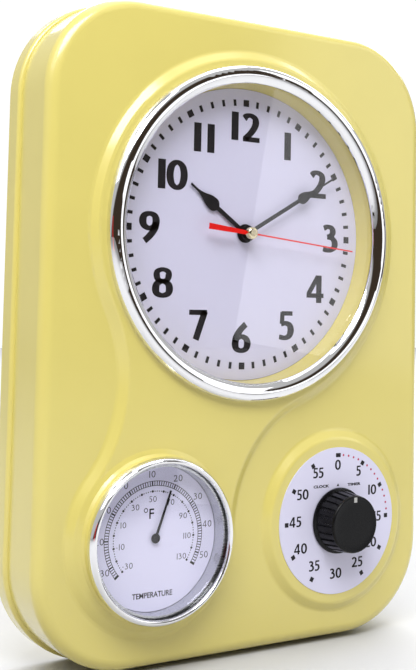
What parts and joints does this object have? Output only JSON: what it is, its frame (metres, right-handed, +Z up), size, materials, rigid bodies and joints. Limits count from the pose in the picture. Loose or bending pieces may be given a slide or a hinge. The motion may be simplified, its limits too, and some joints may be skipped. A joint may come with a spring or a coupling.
{
  "type": "wall clock with thermometer and kitchen timer",
  "caption": "Rounded rectangular kitchen wall clock with a large round dial, a small domed dial thermometer and a knob-wound mechanical timer below it.",
  "frame": {"origin": "centre of the back face, on the wall", "axes": "+X to the reader's right, +Y into the wall, +Z up; the dials face -Y"},
  "size_m": [0.242, 0.0605, 0.334],
  "materials": {
    "case_yellow": "glossy injection-moulded",
    "cover_plastic": "fine-grained",
    "zinc_steel": "zinc-plated",
    "chrome_ring": "polished",
    "clear_glass": "clear",
    "dial_white": "satin printed",
    "movement_black": "fine-grained",
    "movement_natural": "moulded",
    "gear_white": "acetal",
    "battery_skin": "shrink sleeve",
    "board_green": "solder mask",
    "copper_coil": "enamelled wire",
    "soft_iron": "stamped",
    "magnet_dark": "sintered",
    "brass_plain": "turned",
    "washer_rubber": "matt",
    "hand_black": "satin",
    "hand_red": "satin",
    "cap_champagne": "bright",
    "knob_black": "glossy",
    "index_cream": "printed",
    "spring_steel": "tempered",
    "bell_chrome": "polished"
  },
  "bodies": {
    "case": {"front_case": "case_yellow", "rear_cover": "cover_plastic", "hanger_plate": "zinc_steel", "case_screws": "zinc_steel", "clock_bezel": "chrome_ring", "clock_lens": "clear_glass", "clock_dial": "dial_white", "movement_housing": "movement_black", "movement_cover": "movement_black", "train_bridge": "movement_natural", "battery_contacts": "zinc_steel", "circuit_board": "board_green", "quartz_crystal": "zinc_steel", "stator": "soft_iron", "coil": "copper_coil", "rubber_washer": "washer_rubber", "fixing_nut": "brass_plain", "thermo_can": "zinc_steel", "thermo_retainer": "zinc_steel", "thermo_bezel": "chrome_ring", "thermo_lens": "clear_glass", "thermo_bracket": "zinc_steel", "thermo_dial": "dial_white", "bimetal_coil": "spring_steel", "coil_stud": "brass_plain", "timer_dial": "dial_white", "timer_front_plate": "zinc_steel", "timer_rear_plate": "zinc_steel", "timer_pillars": "brass_plain", "timer_screws": "zinc_steel", "mainspring": "spring_steel", "spring_stud": "brass_plain", "bell": "bell_chrome", "bell_post": "brass_plain"},
    "minute": {"minute_hand": "hand_black", "cannon_pinion": "brass_plain"},
    "hour": {"hour_hand": "hand_black", "hour_wheel": "gear_white"},
    "minute_idler": {"minute_wheel": "gear_white"},
    "setting": {"setting_knob": "movement_natural"},
    "second": {"second_hand": "hand_red", "second_wheel": "gear_white", "centre_cap": "cap_champagne"},
    "third": {"third_wheel": "gear_white"},
    "centre": {"centre_wheel": "gear_white"},
    "fourth": {"fourth_wheel": "gear_white"},
    "motor": {"rotor": "magnet_dark"},
    "battery_cell": {"battery": "battery_skin"},
    "needle": {"thermo_pointer": "hand_black", "thermo_arbor": "brass_plain"},
    "timer": {"timer_knob": "knob_black", "knob_index": "index_cream", "timer_arbor": "brass_plain", "main_gear": "brass_plain"},
    "timer_second": {"timer_second_gear": "brass_plain"},
    "timer_third": {"timer_third_gear": "brass_plain"},
    "escape": {"escape_wheel": "brass_plain"},
    "pallet": {"pallet_lever": "zinc_steel"},
    "striker": {"hammer": "zinc_steel"}
  },
  "joints": [
    {"name": "minute_spin", "type": "hinge", "parent": "case", "child": "minute", "pos_m": [0, -0.038, 0.0505], "axis": [0, 1, 0], "continuous": true},
    {"name": "hour_spin", "type": "hinge", "parent": "case", "child": "hour", "pos_m": [0, -0.035, 0.0505], "axis": [0, 1, 0], "continuous": true},
    {"name": "minute_wheel_spin", "type": "hinge", "parent": "case", "child": "minute_idler", "pos_m": [-0.009, -0.025, 0.0505], "axis": [0, 1, 0], "continuous": true},
    {"name": "setting_spin", "type": "hinge", "parent": "case", "child": "setting", "pos_m": [-0.01851, -0.012, 0.05396], "axis": [0, 1, 0], "continuous": true},
    {"name": "second_spin", "type": "hinge", "parent": "case", "child": "second", "pos_m": [0, -0.04, 0.0505], "axis": [0, 1, 0], "continuous": true},
    {"name": "third_spin", "type": "hinge", "parent": "case", "child": "third", "pos_m": [0.00935, -0.02, 0.0559], "axis": [0, 1, 0], "continuous": true},
    {"name": "centre_spin", "type": "hinge", "parent": "case", "child": "centre", "pos_m": [0, -0.023, 0.0505], "axis": [0, 1, 0], "continuous": true},
    {"name": "fourth_spin", "type": "hinge", "parent": "case", "child": "fourth", "pos_m": [-0.00438, -0.016, 0.05808], "axis": [0, 1, 0], "continuous": true},
    {"name": "rotor_spin", "type": "hinge", "parent": "case", "child": "motor", "pos_m": [-0.01162, -0.019, 0.06002], "axis": [0, 1, 0], "continuous": true},
    {"name": "battery_slide", "type": "slide", "parent": "case", "child": "battery_cell", "axis": [0, 1, 0], "range_m": [0, 0.024]},
    {"name": "needle_swing", "type": "hinge", "parent": "case", "child": "needle", "pos_m": [-0.0565, -0.046, -0.1022], "axis": [0, 1, 0], "range_deg": [-150, 103]},
    {"name": "timer_turn", "type": "hinge", "parent": "case", "child": "timer", "pos_m": [0.057, -0.05, -0.1024], "axis": [0, 1, 0], "range_deg": [0, 355]},
    {"name": "timer_second_turn", "type": "hinge", "parent": "case", "child": "timer_second", "pos_m": [0.04226, -0.026, -0.11272], "axis": [0, 1, 0], "range_deg": [-1775, 0]},
    {"name": "timer_third_turn", "type": "hinge", "parent": "case", "child": "timer_third", "pos_m": [0.03726, -0.029, -0.10406], "axis": [0, 1, 0], "range_deg": [0, 7100]},
    {"name": "escape_turn", "type": "hinge", "parent": "case", "child": "escape", "pos_m": [0.03952, -0.029, -0.09561], "axis": [0, 1, 0], "range_deg": [-28400, 0]},
    {"name": "pallet_swing", "type": "hinge", "parent": "case", "child": "pallet", "pos_m": [0.04094, -0.029, -0.08754], "axis": [0, 1, 0], "range_deg": [-2, 2]},
    {"name": "hammer_swing", "type": "hinge", "parent": "case", "child": "striker", "pos_m": [0.069, -0.014, -0.1224], "axis": [0, 1, 0], "range_deg": [-6, 8.5]}
  ],
  "couplings": [
    {"joint": "hour_spin", "follows": "minute_spin", "ratio": 0.083333},
    {"joint": "minute_wheel_spin", "follows": "minute_spin", "ratio": -0.33333},
    {"joint": "setting_spin", "follows": "minute_spin", "ratio": 0.66667},
    {"joint": "third_spin", "follows": "second_spin", "ratio": -0.13333},
    {"joint": "centre_spin", "follows": "second_spin", "ratio": 0.016667},
    {"joint": "fourth_spin", "follows": "second_spin", "ratio": -6},
    {"joint": "rotor_spin", "follows": "second_spin", "ratio": 30},
    {"joint": "timer_second_turn", "follows": "timer_turn", "ratio": -5},
    {"joint": "timer_third_turn", "follows": "timer_turn", "ratio": 20},
    {"joint": "escape_turn", "follows": "timer_turn", "ratio": -80}
  ]
}
